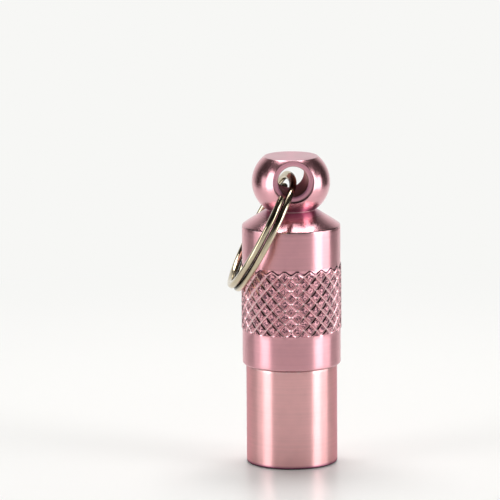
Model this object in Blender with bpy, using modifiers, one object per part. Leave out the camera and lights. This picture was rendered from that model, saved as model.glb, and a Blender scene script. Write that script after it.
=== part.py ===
"""Pet id capsule: a screw-topped aluminium capsule that holds a rolled paper slip and hangs on a split ring.

The capsule stands on the flat end of its barrel. The origin is the centre of that face, with +Z up along
the capsule and the eyelet's hole along Y. Every size is in metres.
"""

import math

import bmesh
import bpy
from mathutils import Matrix, Vector

# Barrel, the closed lower half
BARREL_DIAMETER = 0.0111
BARREL_SHOULDER_Z = 0.0122
BARREL_BASE_EDGE = 0.0003
BARREL_TOP_EDGE = 0.00015
BARREL_BORE_DIAMETER = 0.0069
BARREL_FLOOR = 0.0012

# Screw thread on the barrel's neck, right-handed
NECK_DIAMETER = 0.0081
NECK_LENGTH = 0.0064
NECK_CHAMFER = 0.0003
THREAD_PITCH = 0.001
THREAD_DEPTH = 0.00045
THREAD_CREST = 0.00016
THREAD_FLANK_ANGLE = math.radians(30)
THREAD_START_HEIGHT = 0.00185
THREAD_TURNS = 4.0
THREAD_CLEARANCE = 0.0001

# Sealing ring, on the neck between the barrel's shoulder and the cap
SEAL_CORD_DIAMETER = 0.001
SEAL_CLEARANCE = 0.00008

# Cap, the upper half, turned from one bar
CAP_DIAMETER = 0.012
CAP_RIM_GAP = 0.0001
CAP_RIM_EDGE = 0.00025
CAP_RIM_CHAMFER = 0.0001
CAP_BORE_TOP_Z = 0.025
DRILL_POINT_ANGLE = math.radians(118)
SHOULDER_Z = 0.02944
SHOULDER_EDGE = 0.00008
SHOULDER_SLOPE = math.radians(32.6)

# Ball on the cap's top, with its flat and its eyelet
BALL_DIAMETER = 0.00954
BALL_ARC_RADIUS = 0.00405
BALL_Z = 0.03475
BALL_FOOT_Z = 0.0315
BALL_NECK_DIAMETER = 0.0058
TOP_Z = 0.0379
EYELET_Z = 0.0353
EYELET_DIAMETER = 0.0037
EYELET_COUNTERBORE_DIAMETER = 0.005
EYELET_COUNTERBORE_Y = 0.0033

# Knurl, a band of raised diamonds
KNURL_DIAMETER = 0.0122
KNURL_BOTTOM_Z = 0.01655
KNURL_TOP_Z = 0.02475
KNURL_COUNT = 24
KNURL_ROWS = 5
KNURL_TURN = math.radians(1.3)
KNURL_DEPTH = 0.0003
KNURL_FLANK = 0.0002
KNURL_ROOT_OVERLAP = 0.0001
KNURL_END_OVERLAP = 0.00004

# Split ring, hard wire wound twice round, leaning on the capsule
RING_DIAMETER = 0.016
RING_WIRE_RADIAL = 0.001
RING_WIRE_AXIAL = 0.0008
RING_WIRE_ROUNDING = 0.00037
RING_COIL_GAP = 0.0001
RING_JOG_START = math.radians(-25)
RING_JOG_END = math.radians(25)
RING_END_OVERLAP = math.radians(19)
RING_CAP_CLEARANCE = 0.00002
RING_TWIST = math.radians(-2.9)

# Paper slip, rolled up inside
SLIP_HEIGHT = 0.017
SLIP_THICKNESS = 0.0001
SLIP_LAYER_STEP = 0.00015
SLIP_TURNS = 2.1
SLIP_CLEARANCE = 0.0001

# Fineness of the round shapes
TURNED_STEPS = 60
BORE_STEPS = 48
THREAD_STEPS = 32
SEAL_SECTION_STEPS = 10
RING_STEPS = 48
SLIP_STEPS = 24
WELD = 0.000001

# Sizes that follow from the ones above
BARREL_RADIUS = BARREL_DIAMETER / 2
BARREL_BORE_RADIUS = BARREL_BORE_DIAMETER / 2
NECK_RADIUS = NECK_DIAMETER / 2
NECK_TOP_Z = BARREL_SHOULDER_Z + NECK_LENGTH
THREAD_START_Z = BARREL_SHOULDER_Z + THREAD_START_HEIGHT
CAP_RADIUS = CAP_DIAMETER / 2
CAP_RIM_Z = BARREL_SHOULDER_Z + CAP_RIM_GAP
CAP_BORE_RADIUS = NECK_RADIUS + THREAD_CLEARANCE
SEAL_RADIUS = NECK_RADIUS + SEAL_CLEARANCE + SEAL_CORD_DIAMETER / 2
SEAL_Z = BARREL_SHOULDER_Z + SEAL_CLEARANCE + SEAL_CORD_DIAMETER / 2
SEAL_SEAT_RADIUS = SEAL_RADIUS + SEAL_CORD_DIAMETER / 2 + SEAL_CLEARANCE
SEAL_SEAT_Z = SEAL_Z + SEAL_CORD_DIAMETER / 2 + SEAL_CLEARANCE
BALL_ARC_OFFSET = BALL_DIAMETER / 2 - BALL_ARC_RADIUS
KNURL_RADIUS = KNURL_DIAMETER / 2
KNURL_ROOT_RADIUS = KNURL_RADIUS - KNURL_DEPTH
KNURL_ROW_HEIGHT = (KNURL_TOP_Z - KNURL_BOTTOM_Z) / KNURL_ROWS
RING_COIL_RADIUS = (RING_DIAMETER - RING_WIRE_RADIAL) / 2
RING_COIL_STEP = RING_WIRE_AXIAL + RING_COIL_GAP
RING_LOW_CORNER = 2 * RING_COIL_RADIUS - (RING_WIRE_RADIAL / 2 - RING_WIRE_ROUNDING)
RING_SIDE_CORNER = RING_COIL_STEP / 2 + RING_WIRE_AXIAL / 2 - RING_WIRE_ROUNDING
RING_REACH = KNURL_RADIUS + RING_CAP_CLEARANCE + RING_WIRE_ROUNDING
RING_LEAN = math.asin(RING_REACH / math.hypot(RING_LOW_CORNER, RING_SIDE_CORNER))
RING_LEAN += math.atan2(RING_SIDE_CORNER, RING_LOW_CORNER)

PINK_ANODISED = ((0.56, 0.27, 0.31, 1.0), 0.3, 1.0)
NICKEL_STEEL = ((0.56, 0.52, 0.45, 1.0), 0.2, 1.0)
BLACK_RUBBER = ((0.012, 0.012, 0.013, 1.0), 0.6, 0.0)
WHITE_PAPER = ((0.80, 0.79, 0.75, 1.0), 0.9, 0.0)


def clear_scene():
    """Removes whatever the scene holds."""
    for item in list(bpy.data.objects):
        bpy.data.objects.remove(item)


def make_collection(name):
    """A new collection in the scene."""
    collection = bpy.data.collections.new(name)
    bpy.context.scene.collection.children.link(collection)
    return collection


def make_material(name, finish):
    """A Principled material from a colour, a roughness and a metallic value."""
    colour, roughness, metallic = finish
    material = bpy.data.materials.new(name)
    material.use_nodes = True
    shader = material.node_tree.nodes["Principled BSDF"]
    shader.inputs["Base Color"].default_value = colour
    shader.inputs["Roughness"].default_value = roughness
    shader.inputs["Metallic"].default_value = metallic
    material.diffuse_color = colour
    return material


def mesh_object(name, bm, collection):
    """Turns a bmesh into an object of the collection."""
    mesh = bpy.data.meshes.new(name)
    bm.to_mesh(mesh)
    bm.free()
    item = bpy.data.objects.new(name, mesh)
    collection.objects.link(item)
    return item


def finish_part(item, material, crease_angle=math.radians(25)):
    """Gives a part its material and smooth shading between creases."""
    item.data.materials.append(material)
    item.data.shade_smooth()
    item.data.set_sharp_from_angle(angle=crease_angle)


def arc(centre, radius, start_degrees, end_degrees, steps):
    """Points along an arc of a profile, each as its distance from the axis and its height."""
    points = []
    for step in range(steps + 1):
        angle = math.radians(start_degrees + (end_degrees - start_degrees) * step / steps)
        points.append((centre[0] + radius * math.cos(angle), centre[1] + radius * math.sin(angle)))
    return points


def turned(name, profile, steps, collection):
    """A turned solid: the profile goes down the outer side, from the axis back to the axis."""
    bm = bmesh.new()
    corners = [bm.verts.new((radius, 0, z)) for radius, z in profile]
    for first, second in zip(corners, corners[1:]):
        bm.edges.new((first, second))
    item = mesh_object(name, bm, collection)
    lathe = item.modifiers.new("Turn", "SCREW")
    lathe.axis = "Z"
    lathe.steps = steps
    lathe.render_steps = steps
    lathe.use_merge_vertices = True
    lathe.merge_threshold = WELD
    lathe.use_smooth_shade = True
    return item


def swept(name, section, frames, collection):
    """A solid swept by a flat section through a list of frames, closed at both ends."""
    bm = bmesh.new()
    corners = [bm.verts.new(frames[0] @ Vector((across, up, 0))) for across, up in section]
    face = bm.faces.new(corners)
    start = face
    for before, after in zip(frames, frames[1:]):
        grown = bmesh.ops.extrude_face_region(bm, geom=[face])["geom"]
        if face is not start:
            bm.faces.remove(face)
        moved = [part for part in grown if isinstance(part, bmesh.types.BMVert)]
        face = next(part for part in grown if isinstance(part, bmesh.types.BMFace))
        bmesh.ops.transform(bm, matrix=after @ before.inverted(), verts=moved)
    bmesh.ops.recalc_face_normals(bm, faces=bm.faces)
    return mesh_object(name, bm, collection)


def boolean(item, cutter, operation):
    """Adds an exact Boolean with a helper object, which is hidden from renders."""
    change = item.modifiers.new(cutter.name, "BOOLEAN")
    change.operation = operation
    change.solver = "EXACT"
    change.object = cutter
    cutter.hide_render = True
    cutter.display_type = "WIRE"


def drill_point_height(radius):
    """How far a drill's pointed end reaches past its full diameter."""
    return radius / math.tan(DRILL_POINT_ANGLE / 2)


def thread_sweep(name, start_z, turns, growth, buried, collection):
    """A helical ridge on the neck, its ends running out, made larger all round by growth for the cutter."""
    inner = NECK_RADIUS - buried
    outer = NECK_RADIUS + THREAD_DEPTH + growth
    crest_half = THREAD_CREST / 2 + growth * math.tan(math.pi / 4 + THREAD_FLANK_ANGLE / 2) / 2
    inner_half = crest_half + (outer - inner) * math.tan(THREAD_FLANK_ANGLE)
    section = [(0, -inner_half), (outer - inner, -crest_half), (outer - inner, crest_half), (0, inner_half)]
    steps = round(turns * THREAD_STEPS)
    run_out = THREAD_STEPS / 4
    frames = []
    for step in range(steps + 1):
        turn = (start_z - THREAD_START_Z) / THREAD_PITCH + step / THREAD_STEPS
        height = THREAD_START_Z + THREAD_PITCH * turn
        depth = 0.15 + 0.85 * min(1, step / run_out, (steps - step) / run_out)
        place = Matrix.Rotation(2 * math.pi * turn, 4, "Z") @ Matrix.Translation((inner, 0, height))
        upright = Matrix.Rotation(math.pi / 2, 4, "X")
        frames.append(place @ upright @ Matrix.Scale(depth, 4))
    return swept(name, section, frames, collection)


def make_barrel(parts, helpers):
    """The lower half: a drilled cup with a shoulder and a threaded neck."""
    bore = BARREL_BORE_RADIUS
    base, top = BARREL_BASE_EDGE, BARREL_TOP_EDGE
    profile = [(0, BARREL_FLOOR), (bore, BARREL_FLOOR + drill_point_height(bore))]
    profile += [(bore, NECK_TOP_Z), (NECK_RADIUS - NECK_CHAMFER, NECK_TOP_Z)]
    profile += [(NECK_RADIUS, NECK_TOP_Z - NECK_CHAMFER), (NECK_RADIUS, BARREL_SHOULDER_Z)]
    profile += arc((BARREL_RADIUS - top, BARREL_SHOULDER_Z - top), top, 90, 0, 2)
    profile += arc((BARREL_RADIUS - base, base), base, 0, -90, 3)
    profile += [(0, 0)]
    barrel = turned("barrel", profile, TURNED_STEPS, parts)
    ridge = thread_sweep("barrel_thread", THREAD_START_Z, THREAD_TURNS, 0, 0.00015, helpers)
    boolean(barrel, ridge, "UNION")
    return barrel


def make_seal(parts):
    """The rubber sealing ring round the neck's root."""
    bpy.ops.mesh.primitive_torus_add(
        major_radius=SEAL_RADIUS,
        minor_radius=SEAL_CORD_DIAMETER / 2,
        major_segments=TURNED_STEPS,
        minor_segments=SEAL_SECTION_STEPS,
        location=(0, 0, SEAL_Z),
    )
    seal = bpy.context.object
    seal.name = "seal_ring"
    for owner in list(seal.users_collection):
        owner.objects.unlink(seal)
    parts.objects.link(seal)
    return seal


def cap_outline():
    """The cap's outer profile, from the flat on the ball down to the rim and across its underside."""
    slope = math.tan(SHOULDER_SLOPE)
    neck = BALL_NECK_DIAMETER / 2
    centre = (BALL_ARC_OFFSET, BALL_Z)
    top_angle = math.degrees(math.asin((TOP_Z - BALL_Z) / BALL_ARC_RADIUS))
    foot_angle = math.degrees(math.asin((BALL_FOOT_Z - BALL_Z) / BALL_ARC_RADIUS))
    edge = SHOULDER_EDGE
    root = KNURL_ROOT_RADIUS - KNURL_ROOT_OVERLAP
    rim = CAP_RIM_EDGE
    profile = [(0, TOP_Z)]
    profile += arc(centre, BALL_ARC_RADIUS, top_angle, foot_angle, 16)
    profile += [(neck, BALL_FOOT_Z), (neck, SHOULDER_Z + (CAP_RADIUS - neck) * slope)]
    profile += [(CAP_RADIUS - edge, SHOULDER_Z + edge * slope), (CAP_RADIUS, SHOULDER_Z - edge)]
    profile += [(CAP_RADIUS, KNURL_TOP_Z), (root, KNURL_TOP_Z)]
    profile += [(root, KNURL_BOTTOM_Z), (CAP_RADIUS, KNURL_BOTTOM_Z)]
    profile += arc((CAP_RADIUS - rim, CAP_RIM_Z + rim), rim, 0, -90, 3)
    profile += [(0, CAP_RIM_Z)]
    return profile


def make_knurl(helpers):
    """A plug whose side is the diamond lattice: crossed grooves, with a flat-topped diamond in each cell."""
    columns = 2 * KNURL_COUNT
    half_row = KNURL_ROW_HEIGHT / 2
    bm = bmesh.new()
    crossings = {}
    for row in range(-1, 2 * KNURL_ROWS + 2):
        for column in range(row % 2, columns, 2):
            turn = Matrix.Rotation(KNURL_TURN + 2 * math.pi * column / columns, 4, "Z")
            place = turn @ Vector((KNURL_ROOT_RADIUS, 0, KNURL_BOTTOM_Z + row * half_row))
            crossings[column, row] = bm.verts.new(place)
    diamonds = []
    for row in range(2 * KNURL_ROWS + 1):
        for column in range(row % 2 == 0, columns, 2):
            left, right = (column - 1) % columns, (column + 1) % columns
            corners = ((left, row), (column, row - 1), (right, row), (column, row + 1))
            diamonds.append(bm.faces.new([crossings[corner] for corner in corners]))
    bm.normal_update()
    bmesh.ops.inset_individual(bm, faces=diamonds, thickness=KNURL_FLANK, depth=KNURL_DEPTH)
    ends = ((KNURL_TOP_Z + KNURL_END_OVERLAP, 1), (KNURL_BOTTOM_Z - KNURL_END_OVERLAP, -1))
    for height, outward in ends:
        everything = bm.verts[:] + bm.edges[:] + bm.faces[:]
        bmesh.ops.bisect_plane(
            bm, geom=everything, dist=WELD / 10, plane_co=(0, 0, height), plane_no=(0, 0, outward), clear_outer=True
        )
    bmesh.ops.holes_fill(bm, edges=[edge for edge in bm.edges if edge.is_boundary])
    bmesh.ops.recalc_face_normals(bm, faces=bm.faces)
    return mesh_object("cap_knurl", bm, helpers)


def make_cap(parts, helpers):
    """The upper half: outside turned and knurled, then drilled, counterbored, threaded and pierced."""
    cap = turned("cap", cap_outline(), TURNED_STEPS, parts)
    boolean(cap, make_knurl(helpers), "UNION")

    seat, bore, chamfer = SEAL_SEAT_RADIUS, CAP_BORE_RADIUS, CAP_RIM_CHAMFER
    below = CAP_RIM_Z - chamfer
    hollow = [(0, CAP_BORE_TOP_Z + drill_point_height(bore)), (bore, CAP_BORE_TOP_Z)]
    hollow += [(bore, SEAL_SEAT_Z), (seat, SEAL_SEAT_Z)]
    hollow += [(seat, CAP_RIM_Z + chamfer), (seat + 2 * chamfer, below), (0, below)]
    boolean(cap, turned("cap_hollow", hollow, BORE_STEPS, helpers), "DIFFERENCE")

    lowest = SEAL_SEAT_Z - THREAD_PITCH
    reach = THREAD_START_Z + (THREAD_TURNS + 1) * THREAD_PITCH - lowest
    groove = thread_sweep(
        "cap_thread", lowest, reach / THREAD_PITCH, THREAD_CLEARANCE, 0.0001, helpers
    )
    boolean(cap, groove, "DIFFERENCE")

    hole, mouth = EYELET_DIAMETER / 2, EYELET_COUNTERBORE_DIAMETER / 2
    outside = BALL_DIAMETER
    step = EYELET_COUNTERBORE_Y
    floor = step - drill_point_height(mouth - hole)
    piercing = [(0, outside), (mouth, outside), (mouth, step), (hole, floor)]
    piercing += [(radius, -height) for radius, height in reversed(piercing)]
    eyelet = turned("cap_eyelet", piercing, BORE_STEPS, helpers)
    eyelet.location = (0, 0, EYELET_Z)
    eyelet.rotation_euler = (math.pi / 2, 0, 0)
    boolean(cap, eyelet, "DIFFERENCE")
    return cap


def wire_section():
    """The split ring's wire: a rectangle with rounded corners, round its own centre."""
    rounding = RING_WIRE_ROUNDING
    across, up = RING_WIRE_AXIAL / 2 - rounding, RING_WIRE_RADIAL / 2 - rounding
    section = []
    for centre, start in (((across, up), 0), ((-across, up), 90), ((-across, -up), 180), ((across, -up), 270)):
        section += arc(centre, rounding, start, start + 90, 2)
    return section


def ring_offset(angle):
    """How far the wire lies to the side at an angle round the ring: one coil, the jog, then the other coil."""
    share = (angle - RING_JOG_START) / (RING_JOG_END - RING_JOG_START)
    share = min(1, max(0, share))
    return RING_COIL_STEP * (3 * share**2 - 2 * share**3 - 0.5)


def make_ring(parts, eyelet_axis):
    """The split ring: its wire goes once round, steps sideways in the eyelet and goes round again."""
    first = RING_JOG_END + RING_END_OVERLAP - 2 * math.pi
    last = RING_JOG_START - RING_END_OVERLAP + 2 * math.pi
    steps = round(RING_STEPS * (last - first) / (2 * math.pi))
    centre = Matrix.Translation((0, 0, -RING_COIL_RADIUS))
    frames = []
    middles = []
    for step in range(steps + 1):
        angle = first + (last - first) * step / steps
        around = Matrix.Rotation(angle, 4, "X")
        outward = Matrix.Translation((ring_offset(angle), 0, RING_COIL_RADIUS))
        frame = centre @ around @ outward @ Matrix.Rotation(math.pi / 2, 4, "X")
        frames.append(frame)
        middles.append(frame.translation)
    ring = swept("split_ring", wire_section(), frames, parts)
    ring.parent = eyelet_axis
    ring.rotation_euler = (0, RING_LEAN, RING_TWIST)
    print_least_gap(middles)
    return ring


def print_least_gap(middles):
    """Prints the least gap between the ring's two coils, measured from point to point of the wire."""
    apart = RING_STEPS // 2
    pairs = [
        (middles[i] - middles[j]).length
        for i in range(len(middles))
        for j in range(i + apart, len(middles))
    ]
    print(f"split ring: least gap between its coils {(min(pairs) - RING_WIRE_AXIAL) * 1000:.2f} mm")


def make_slip(parts):
    """The paper slip: a strip rolled about twice round, standing in the barrel's bore."""
    outer = BARREL_BORE_RADIUS - SLIP_CLEARANCE - SLIP_THICKNESS / 2
    steps = round(SLIP_TURNS * SLIP_STEPS)
    faces = {1: [], -1: []}
    for step in range(steps + 1):
        turn = step / SLIP_STEPS
        angle = 2 * math.pi * turn
        for side, points in faces.items():
            radius = outer - SLIP_LAYER_STEP * turn + side * SLIP_THICKNESS / 2
            points.append((radius * math.cos(angle), radius * math.sin(angle), 0, 1))
    outline = faces[1] + faces[-1][::-1]
    curve = bpy.data.curves.new("paper_slip", "CURVE")
    curve.dimensions = "2D"
    curve.fill_mode = "BOTH"
    curve.extrude = SLIP_HEIGHT / 2
    spline = curve.splines.new("POLY")
    spline.points.add(len(outline) - 1)
    for point, place in zip(spline.points, outline):
        point.co = place
    spline.use_cyclic_u = True
    slip = bpy.data.objects.new("paper_slip", curve)
    parts.objects.link(slip)
    seat = BARREL_FLOOR + drill_point_height(BARREL_BORE_RADIUS) + SLIP_CLEARANCE
    slip.location = (0, 0, seat + SLIP_HEIGHT / 2)
    return slip


def make_axis(name, location, parts):
    """An empty on a joint's axis, which carries what turns or slides there."""
    axis = bpy.data.objects.new(name, None)
    axis.empty_display_size = CAP_RADIUS
    axis.location = location
    parts.objects.link(axis)
    return axis


def main():
    """Builds the capsule in its closed pose, with the ring leaning on it."""
    clear_scene()
    parts = make_collection("pet_id_capsule")
    helpers = make_collection("capsule_cutters")

    anodised = make_material("pink_anodised_aluminium", PINK_ANODISED)
    steel = make_material("nickel_plated_steel", NICKEL_STEEL)
    rubber = make_material("black_rubber", BLACK_RUBBER)
    paper = make_material("white_paper", WHITE_PAPER)

    screw_axis = make_axis("screw_axis", (0, 0, 0), parts)
    eyelet_axis = make_axis("eyelet_axis", (0, 0, EYELET_Z), parts)
    eyelet_axis.parent = screw_axis

    barrel = make_barrel(parts, helpers)
    seal = make_seal(parts)
    cap = make_cap(parts, helpers)
    ring = make_ring(parts, eyelet_axis)
    slip = make_slip(parts)
    seal.parent = screw_axis
    cap.parent = screw_axis

    finish_part(barrel, anodised)
    finish_part(cap, anodised)
    finish_part(seal, rubber, math.radians(60))
    finish_part(ring, steel, math.radians(50))
    slip.data.materials.append(paper)


main()
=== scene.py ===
"""Pet id capsule: the looks of its pieces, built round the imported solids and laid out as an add-on.

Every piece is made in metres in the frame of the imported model: the capsule stands on the origin with +Z up
and the eyelet's hole lies along Y.
"""

import math
from functools import partial

import bmesh
import bpy
from mathutils import Euler, Matrix, Vector, noise


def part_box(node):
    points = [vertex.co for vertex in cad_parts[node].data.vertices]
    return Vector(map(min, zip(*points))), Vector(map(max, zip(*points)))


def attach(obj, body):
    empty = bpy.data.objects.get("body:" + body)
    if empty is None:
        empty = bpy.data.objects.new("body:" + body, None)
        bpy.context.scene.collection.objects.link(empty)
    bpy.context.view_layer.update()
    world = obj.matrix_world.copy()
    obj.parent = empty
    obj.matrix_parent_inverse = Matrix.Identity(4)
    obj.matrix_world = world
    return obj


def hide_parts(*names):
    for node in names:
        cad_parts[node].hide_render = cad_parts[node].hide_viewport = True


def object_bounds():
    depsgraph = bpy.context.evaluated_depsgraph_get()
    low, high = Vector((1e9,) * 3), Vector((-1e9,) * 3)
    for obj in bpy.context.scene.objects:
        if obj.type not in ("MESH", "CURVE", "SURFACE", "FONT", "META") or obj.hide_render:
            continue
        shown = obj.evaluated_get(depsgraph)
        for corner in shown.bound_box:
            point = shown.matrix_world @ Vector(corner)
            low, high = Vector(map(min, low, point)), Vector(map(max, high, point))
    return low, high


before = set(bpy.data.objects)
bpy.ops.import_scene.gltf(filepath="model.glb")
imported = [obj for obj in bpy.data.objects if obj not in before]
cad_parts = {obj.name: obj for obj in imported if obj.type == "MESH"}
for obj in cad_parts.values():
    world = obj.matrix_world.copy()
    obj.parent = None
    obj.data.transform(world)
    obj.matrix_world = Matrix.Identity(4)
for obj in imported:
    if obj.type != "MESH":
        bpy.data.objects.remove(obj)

bl_info = {
    "name": "Pet id capsule",
    "version": (1, 0, 0),
    "blender": (4, 5, 0),
    "location": "3D View > Sidebar > Capsule",
    "description": "Builds an anodised address capsule on its split ring, with its studio",
    "category": "Object",
}

CAD_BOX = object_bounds()
BARREL_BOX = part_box("barrel")

# Fineness of the meshes
TURNED_STEPS = 160
THREAD_STEPS = 56
WIRE_STEPS = 144
PAPER_STEPS = 72
WELD = 0.0000002

# Angles that the way of making gives, and that a user has no reason to change
DRILL_POINT = math.radians(118)
THREAD_FLANK = math.radians(30)
SHOULDER_SLOPE = math.radians(32.6)
MOUTH_SLOPE = math.radians(6)
KNURL_TURN = math.radians(2.3)
RING_JOG = math.radians(25)
RING_OVERLAP = math.radians(19)
RING_TWIST = math.radians(-2.9)

# How far the knurl's upper end waves up and down from its middle, and how wide its lip is
KNURL_SCALLOP = 0.0002
KNURL_LIP = 0.00016

# Lengths inside, which nothing outside shows
THREAD_RISE = 0.00185
THREAD_TURNS = 4.0
THREAD_GAP = 0.0001
SEAL_GAP = 0.00008
CAP_BORE_TOP = 0.025
EYELET_STEP = 0.0033
SLIP_GAP = 0.0001
SLIP_TURNS = 2.1
SLIP_STEP = 0.00015

# The knurl and the coil gap of the solids, which set how far the split ring leans
SOLID_KNURL_RADIUS = 0.0061
SOLID_COIL_GAP = 0.0001

# Where each diamond of the knurl has its vertices, as shares of its side from one groove to the next
KNURL_SAMPLES = (0, 0.05, 0.1, 0.16, 0.23, 0.36, 0.5)
KNURL_SAMPLES += tuple(1 - share for share in KNURL_SAMPLES[-2::-1])

# What the cap's mesh marks for its materials: the knurl's grooves, painted pale as a highlight, and painted
# shade elsewhere; where the tool tore; and where it is rubbed, with a painted highlight under the ball
MARKS = ("painted_light_and_grooves", "torn", "wear_and_painted_light")

# The kinds of node that come up most
ATTRIBUTE, MAP_RANGE, MATH = "ShaderNodeAttribute", "ShaderNodeMapRange", "ShaderNodeMath"
MIX, NOISE, VECTOR_MATH = "ShaderNodeMix", "ShaderNodeTexNoise", "ShaderNodeVectorMath"

# Where a noise has most of its values
NOISE_SPAN = {"From Min": 0.3, "From Max": 0.7}

# How strongly the clear oxide bends light, and the tint that dyed metal takes at a glancing angle
OXIDE_IOR = 1.7
EDGE_TINT = (0.97, 0.85, 0.87)

# Each lamp's name, azimuth, elevation, distance, width and height, and radiance
LAMPS = (
    ("left", -69.5, 6, 0.5, (0.21, 0.56), 3.1),
    ("left_edge", -91, -5, 0.5, (0.18, 0.36), 1.1),
    ("right", 62.5, 6, 0.5, (0.21, 0.56), 3.8),
    ("right_edge", 86, -5, 0.5, (0.18, 0.36), 2.5),
    ("overhead", 180, 71, 0.6, (0.5, 0.3), 5.5),
)


def linear(code):
    """An sRGB hex colour as the linear red, green and blue that Blender works in."""
    channels = [int(code[place : place + 2], 16) / 255 for place in (1, 3, 5)]
    return [value / 12.92 if value <= 0.04045 else ((value + 0.055) / 1.055) ** 2.4 for value in channels]


def length(name, description, default):
    """A size in metres that the panel shows as a length."""
    return bpy.props.FloatProperty(
        name=name, description=description, default=default, min=0, unit="LENGTH", precision=5
    )


def colour(name, description, code):
    """A colour that the panel shows as a swatch."""
    return bpy.props.FloatVectorProperty(
        name=name, description=description, default=linear(code), min=0, max=1, size=3, subtype="COLOR"
    )


def count(name, description, default):
    """A whole number of equal things."""
    return bpy.props.IntProperty(name=name, description=description, default=default, min=1)


class BarrelSizes(bpy.types.PropertyGroup):
    """Sizes of the barrel, its threaded neck, the sealing ring and the slip inside."""

    diameter: length("Barrel diameter", "Outside of the barrel", 2 * BARREL_BOX[1].x)
    shoulder: length("Shoulder height", "From the base to the shoulder under the cap", 0.0122)
    base_edge: length("Base edge", "Rounding of the edge that the capsule stands on", 0.0003)
    top_edge: length("Shoulder edge", "Rounding of the shoulder", 0.00007)
    bore: length("Bore", "Drilled hole for the slip", 0.0069)
    floor: length("Floor", "Metal left under the tip of the drilled hole", 0.0012)
    neck: length("Neck diameter", "Neck at the roots of its thread", 0.0081)
    neck_top: length("Neck height", "From the base to the top of the neck", BARREL_BOX[1].z)
    pitch: length("Thread pitch", "From one turn of the thread to the next", 0.001)
    depth: length("Thread depth", "From the thread's root to its crest", 0.00045)
    seal_cord: length("Sealing ring cord", "Thickness of the rubber", 0.001)
    slip_height: length("Slip width", "Width of the paper strip, which stands upright", 0.017)
    slip_thickness: length("Slip thickness", "Thickness of the paper", 0.0001)


class CapSizes(bpy.types.PropertyGroup):
    """Sizes of the cap, its knurl, its ball and its eyelet."""

    diameter: length("Cap diameter", "Outside of the smooth bands", 0.012)
    rim: length("Rim height", "From the base to the cap's rim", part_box("cap")[0].z)
    rim_edge: length("Rim edge", "Rounding of the rim", 0.00025)
    shoulder: length("Shoulder height", "From the base to the edge of the cap's slope", 0.02944)
    ball: length("Ball diameter", "Ball at its widest", 0.00954)
    ball_arc: length("Ball arc", "Radius that the ball's side is turned to", 0.00405)
    ball_height: length("Ball height", "From the base to the ball's widest place", 0.03475)
    ball_foot: length("Ball foot", "From the base to the foot of the ball", 0.0315)
    ball_neck: length("Ball neck", "Diameter of the thin groove under the ball", 0.0058)
    top: length("Height", "From the base to the flat on the ball", CAD_BOX[1][2])
    eyelet: length("Eyelet", "Hole through the ball", 0.0037)
    eyelet_mouth: length("Eyelet mouth", "Shallow counterbore at each end of the hole", 0.005)
    eyelet_height: length("Eyelet height", "From the base to the middle of the hole", 0.0353)
    knurl: length("Knurl diameter", "Over the tops of the diamonds", 0.012192)
    knurl_bottom: length("Knurl start", "From the base to the lower end of the knurl", 0.01655)
    knurl_top: length("Knurl end", "From the base to the upper end of the knurl", 0.02475)
    knurl_depth: length("Knurl depth", "Depth of the grooves between the diamonds", 0.00016)
    knurl_flank: length("Knurl flank", "Half the width of a groove", 0.000185)
    knurl_count: count("Diamonds round", "Diamonds in one row of the knurl", 24)
    knurl_rows: count("Diamonds high", "Whole diamonds from end to end of the knurl", 5)


class RingSizes(bpy.types.PropertyGroup):
    """Sizes of the split ring."""

    diameter: length("Ring diameter", "Outside of the ring", 0.016)
    wire_width: length("Wire width", "Wire across the ring, from inside to outside", 0.001)
    wire_height: length("Wire height", "Wire along the ring's axis", 0.0008)
    rounding: length("Wire rounding", "Rounding of the wire's corners", 0.00037)
    gap: length("Coil gap", "Space between the two turns", 0.00005)
    clearance: length("Ring clearance", "From the knurl to the ring that leans on it", 0.00002)


class CapsuleColours(bpy.types.PropertyGroup):
    """Colours of the finishes, of the floor and of what the metal mirrors."""

    cap_dye: colour("Cap dye", "Pink dye of the cap's oxide layer", "#D99DA6")
    barrel_dye: colour("Barrel dye", "Pink dye of the barrel's oxide layer", "#E8B0B1")
    # Also the pale of the painted highlights: the knurl's grooves and the line under the ball
    bare_metal_and_highlight: colour("Bare edges", "Aluminium where an edge is rubbed bare", "#E3D6D6")
    nickel: colour("Nickel", "Nickel plate on the ring", "#C9BFA9")
    rubber: colour("Rubber", "Sealing ring", "#1B1B1C")
    paper: colour("Paper", "Address slip", "#ECEAE2")
    ruling: colour("Ruling", "Lines to write on", "#9FB2C6")
    floor: colour("Floor", "Table top", "#F1F0EE")
    background: colour("Background", "What lies beyond the table", "#F7F7F5")
    dark_wall: colour("Unlit walls", "Room between the lamps, as the metal mirrors it", "#3A3534")


def shade(colour, red=1, green=None, blue=None):
    """A colour times a factor, or a factor for each channel, and never over 1, with an alpha of 1."""
    factors = (red, green or red, blue or red)
    return (*(min(1, value * factor) for value, factor in zip(colour, factors)), 1)


def add_node(tree, kind, sockets=None, out=0, **settings):
    """Adds a node with its settings and its values or links, and returns one output, or all for None."""
    item = tree.nodes.new(kind)
    for key, value in settings.items():
        setattr(item, key, value)
    for key, value in (sockets or {}).items():
        if isinstance(value, bpy.types.NodeSocket):
            tree.links.new(value, item.inputs[key])
        else:
            item.inputs[key].default_value = value
    return item.outputs if out is None else item.outputs[out]


def new_material(name):
    """A material, the function that adds nodes to its empty tree, and the place on the piece."""
    material = bpy.data.materials.new(name)
    material.use_nodes = True
    material.node_tree.nodes.clear()
    node = partial(add_node, material.node_tree)
    return material, node, node("ShaderNodeTexCoord", out="Object")


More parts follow.
